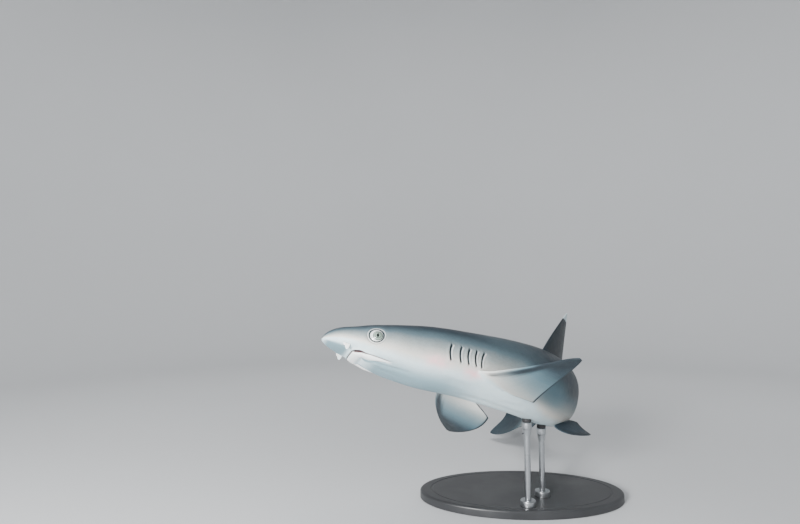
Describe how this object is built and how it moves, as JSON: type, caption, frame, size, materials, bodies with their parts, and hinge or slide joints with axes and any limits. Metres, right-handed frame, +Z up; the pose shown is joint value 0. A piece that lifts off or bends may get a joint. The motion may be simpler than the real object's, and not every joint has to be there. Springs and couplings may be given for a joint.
{
  "type": "reef shark",
  "caption": "Slender blunt-snouted reef shark, modelled still in a banked swimming turn, on a flat oval stand with rods under its belly.",
  "frame": {"origin": "centre of the underside of the stand's oval base", "axes": "+Z up; the shark's head points towards -X, turned a little towards -Y, and its left side faces -Y; its tail runs to +Y"},
  "size_m": [0.5673, 0.9729, 0.3605],
  "materials": {
    "skin": "fine smooth sharkskin, grey brown above and white below, satin and slightly wet",
    "eye": "glossy pale green eye with a dark upright pupil",
    "stand_base": "satin black paint",
    "stand_rod": "brushed stainless steel"
  },
  "bodies": {
    "root": {"head": "skin", "lower_jaw": "skin", "eye_left": "eye", "eye_right": "eye", "nostril_flap_left": "skin", "nostril_flap_right": "skin", "throat_gills": "skin", "trunk_front": "skin", "trunk_rear": "skin", "tail_stalk": "skin", "first_dorsal_fin": "skin", "second_dorsal_fin": "skin", "anal_fin": "skin", "pectoral_fin_left": "skin", "pectoral_fin_right": "skin", "pelvic_fin_left": "skin", "pelvic_fin_right": "skin", "tail_fin_upper_lobe": "skin", "tail_fin_lower_lobe": "skin", "stand_base": "stand_base", "stand_collar_front": "stand_rod", "stand_collar_rear": "stand_rod", "stand_rod_front": "stand_rod", "stand_rod_rear": "stand_rod"}
  },
  "joints": []
}
